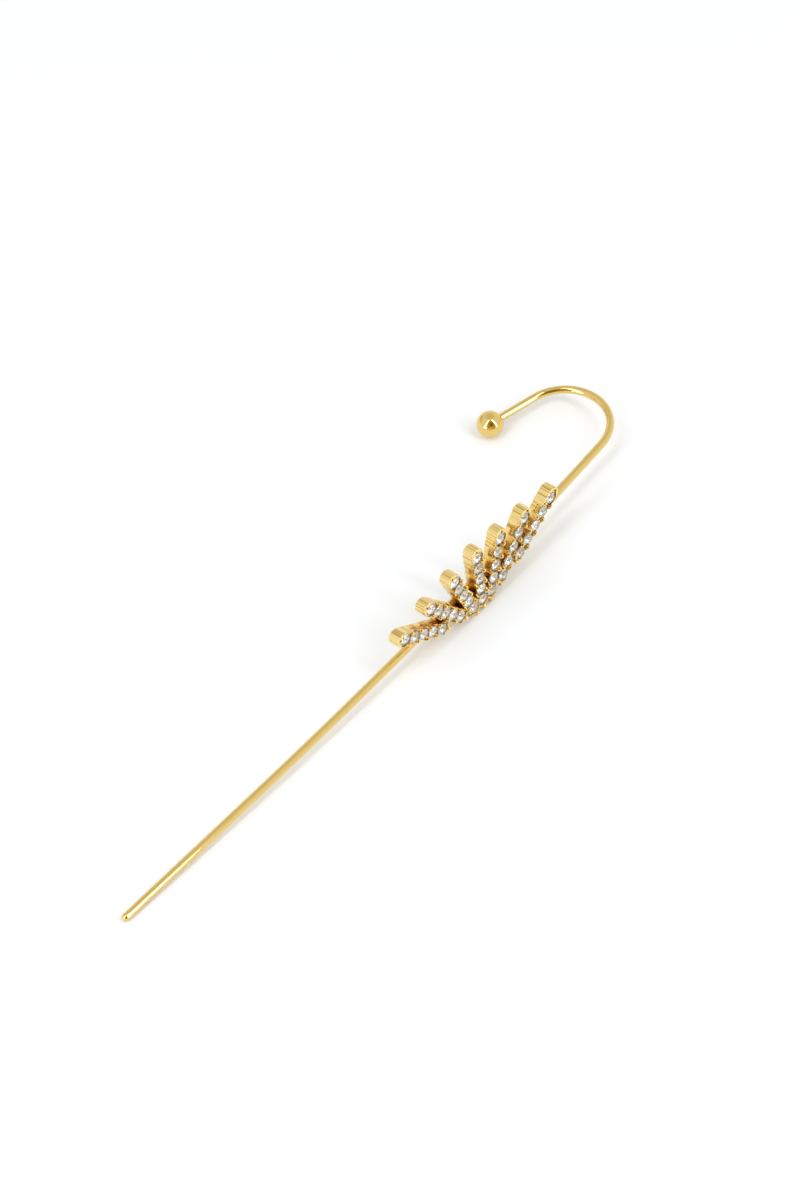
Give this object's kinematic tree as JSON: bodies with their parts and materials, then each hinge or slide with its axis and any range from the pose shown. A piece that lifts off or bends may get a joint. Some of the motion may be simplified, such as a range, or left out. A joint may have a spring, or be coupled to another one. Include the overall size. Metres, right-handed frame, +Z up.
{
  "type": "ear pin",
  "caption": "Long bowed wire ear pin with a curved ear hook, a ball end and a fan-shaped wing of stone-set rays; it is pushed through a pierced ear and lies along it.",
  "frame": {"origin": "middle of the bounding box, on the surface that the pin lies on", "axes": "+X along the pin from its tip towards the hook, +Z up from the surface, -Y the way the stones face"},
  "size_m": [0.0852, 0.0168, 0.0093],
  "materials": {
    "gold": "polished yellow gold",
    "stone": "clear faceted stone"
  },
  "bodies": {
    "root": {"pin": "gold", "stone_1_1": "stone", "stone_1_2": "stone", "stone_1_3": "stone", "stone_1_4": "stone", "stone_1_5": "stone", "stone_2_1": "stone", "stone_2_2": "stone", "stone_2_3": "stone", "stone_2_4": "stone", "stone_2_5": "stone", "stone_3_1": "stone", "stone_3_2": "stone", "stone_3_3": "stone", "stone_3_4": "stone", "stone_3_5": "stone", "stone_4_1": "stone", "stone_4_2": "stone", "stone_4_3": "stone", "stone_4_4": "stone", "stone_4_5": "stone", "stone_5_1": "stone", "stone_5_2": "stone", "stone_5_3": "stone", "stone_5_4": "stone", "stone_5_5": "stone", "stone_6_1": "stone", "stone_6_2": "stone", "stone_6_3": "stone", "stone_6_4": "stone", "stone_6_5": "stone", "stone_7_1": "stone", "stone_7_2": "stone", "stone_7_3": "stone", "stone_7_4": "stone", "stone_7_5": "stone"}
  },
  "joints": []
}
